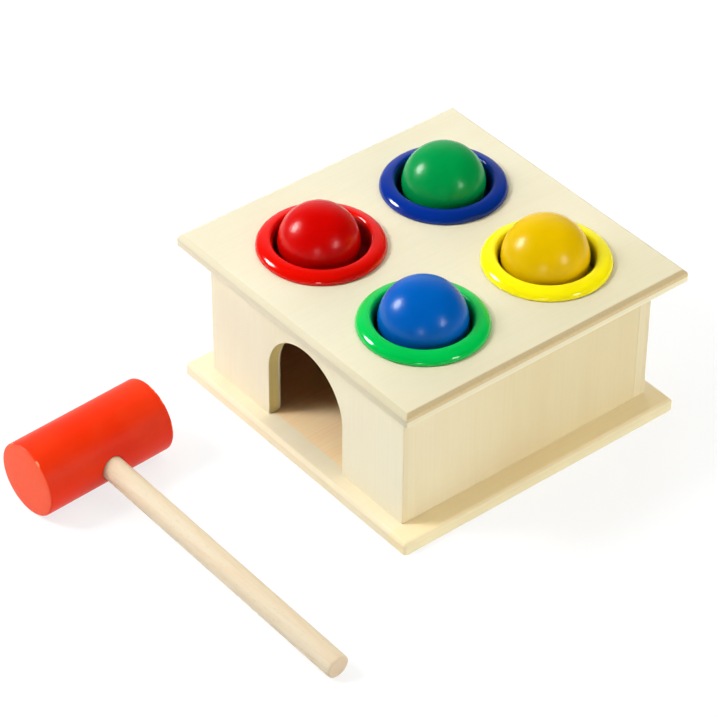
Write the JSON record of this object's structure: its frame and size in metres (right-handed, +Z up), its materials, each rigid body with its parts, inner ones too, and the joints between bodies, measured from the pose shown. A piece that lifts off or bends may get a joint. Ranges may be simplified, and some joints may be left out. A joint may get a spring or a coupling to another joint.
{
  "type": "pounding bench",
  "caption": "Plywood box with painted balls in soft coloured rings in its lid, a round-topped doorway in one wall, and a cylinder-headed wooden mallet lying in front.",
  "frame": {"origin": "middle of the base plate's underside", "axes": "+Z up, -Y out of the doorway, +X towards the plain wall on the picture's right"},
  "size_m": [0.1733, 0.2345, 0.0894],
  "materials": {
    "plywood": "clear lacquer, satin",
    "dowel": "bare, sanded",
    "red_ring": "glossy soft plastic",
    "green_ring": "glossy soft plastic",
    "yellow_ring": "glossy soft plastic",
    "blue_ring": "glossy soft plastic",
    "red_paint": "satin gloss paint",
    "green_paint": "satin gloss paint",
    "yellow_paint": "satin gloss paint",
    "blue_paint": "satin gloss paint",
    "orange_paint": "satin paint"
  },
  "bodies": {
    "box": {"base_plate": "plywood", "front_wall": "plywood", "back_wall": "plywood", "left_wall": "plywood", "right_wall": "plywood", "lid": "plywood", "ring_red": "red_ring", "ring_green": "green_ring", "ring_yellow": "yellow_ring", "ring_blue": "blue_ring"},
    "red_ball": {"ball_red": "red_paint"},
    "blue_ball": {"ball_blue": "blue_paint"},
    "yellow_ball": {"ball_yellow": "yellow_paint"},
    "green_ball": {"ball_green": "green_paint"},
    "hammer": {"hammer_head": "orange_paint", "hammer_handle": "dowel"}
  },
  "joints": [
    {"name": "red_ball_slide", "type": "slide", "parent": "box", "child": "red_ball", "axis": [0, 0, 1], "range_m": [-0.0501, 0.06], "deforming": ["ring_red"]},
    {"name": "blue_ball_slide", "type": "slide", "parent": "box", "child": "blue_ball", "axis": [0, 0, 1], "range_m": [-0.049, 0.06], "deforming": ["ring_green"]},
    {"name": "yellow_ball_slide", "type": "slide", "parent": "box", "child": "yellow_ball", "axis": [0, 0, 1], "range_m": [-0.049, 0.06], "deforming": ["ring_yellow"]},
    {"name": "green_ball_slide", "type": "slide", "parent": "box", "child": "green_ball", "axis": [0, 0, 1], "range_m": [-0.0495, 0.06], "deforming": ["ring_blue"]},
    {"name": "hammer_lift", "type": "slide", "parent": "box", "child": "hammer", "axis": [0, 0, 1], "range_m": [0, 0.15]}
  ]
}
